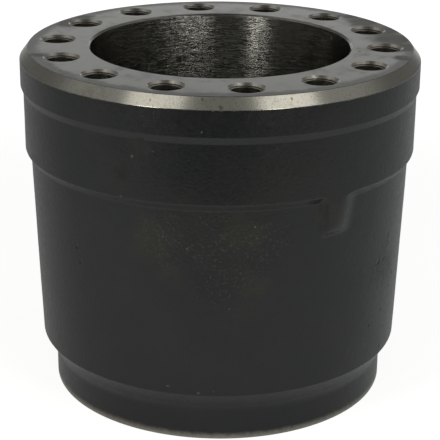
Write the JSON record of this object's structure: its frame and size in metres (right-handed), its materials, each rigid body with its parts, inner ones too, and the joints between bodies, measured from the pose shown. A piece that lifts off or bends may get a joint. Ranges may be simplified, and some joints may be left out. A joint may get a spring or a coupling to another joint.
{
  "type": "wheel hub",
  "caption": "Tall one-piece cast axle hub with a turned flange face, a ring of blind tapped holes, stepped outside bands and a through bore for bearings and a seal.",
  "frame": {"origin": "centre of the bore in the plane of the inboard end face, on which the hub stands", "axes": "+Z along the bore towards the outboard face with the tapped holes; -Y through the cast lug under the collar and through the first tapped hole"},
  "size_m": [0.2, 0.2, 0.1764],
  "materials": {
    "hub_casting": "cast iron with a thin semi-gloss black coat outside; outboard face, its chamfer, the hole mouths and the bore are turned or drilled bare metal"
  },
  "bodies": {
    "root": {"hub": "hub_casting"}
  },
  "joints": []
}
